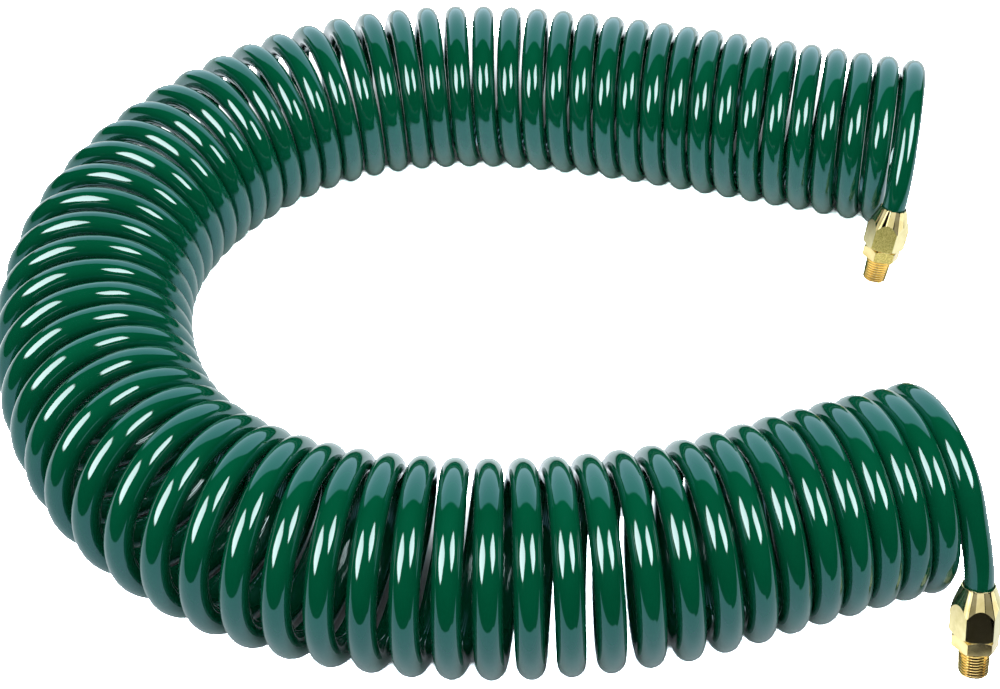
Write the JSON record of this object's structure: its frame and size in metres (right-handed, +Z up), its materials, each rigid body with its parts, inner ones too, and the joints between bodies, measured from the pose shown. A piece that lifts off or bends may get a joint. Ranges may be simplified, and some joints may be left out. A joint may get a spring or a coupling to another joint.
{
  "type": "coiled air hose",
  "caption": "Recoil air hose lying in an open C, a coil of green polyurethane tube with a brass compression fitting and male thread on each end.",
  "frame": {"origin": "centre of the outline in plan, on the surface that the coil lies on", "axes": "+Z up; the C of the coil opens towards +X; the near arm lies on the -Y side and the far arm on the +Y side"},
  "size_m": [0.4617, 0.4152, 0.09],
  "materials": {
    "hose": "glossy dark green polyurethane",
    "nut_brass": "polished pale brass",
    "adapter_brass": "turned golden brass"
  },
  "bodies": {
    "root": {"hose_coil": "hose", "hose_end_near": "hose", "hose_end_far": "hose", "compression_nut_near": "nut_brass", "compression_nut_far": "nut_brass", "threaded_adapter_near": "adapter_brass", "threaded_adapter_far": "adapter_brass"}
  },
  "joints": []
}
